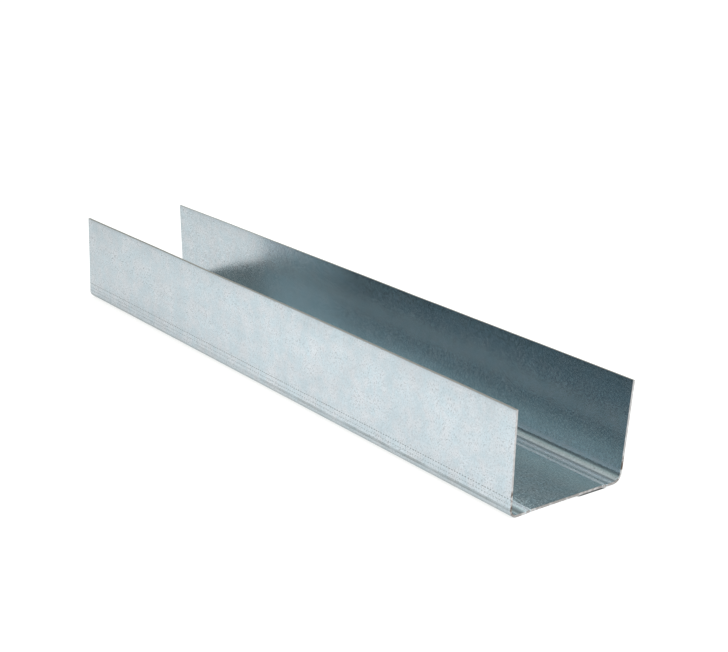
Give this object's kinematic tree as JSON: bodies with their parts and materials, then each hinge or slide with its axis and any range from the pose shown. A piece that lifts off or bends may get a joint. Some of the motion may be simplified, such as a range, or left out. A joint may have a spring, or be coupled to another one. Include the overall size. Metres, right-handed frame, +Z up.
{
  "type": "drywall track",
  "caption": "Short length of roll-formed galvanised steel channel with plain legs and a slightly raised web, which holds the stud ends of a drywall partition.",
  "frame": {"origin": "centre of the part's box, on the floor that the two foot strips of the web rest on; the middle of the web is at x = -0.75 mm and y = -0.69 mm, because the far leg springs open at the +X end and its top reaches 1.5 mm past its foot there", "axes": "+X along the track, +Y from the near leg to the far leg, which springs outwards at the +X end, +Z up out of the open side of the channel"},
  "size_m": [0.2515, 0.0442, 0.0318],
  "materials": {
    "galvanised_steel": "hot-dip galvanised sheet with a fine, minimised spangle, passivated and lightly oiled from the rolls"
  },
  "bodies": {
    "root": {"track": "galvanised_steel"}
  },
  "joints": []
}
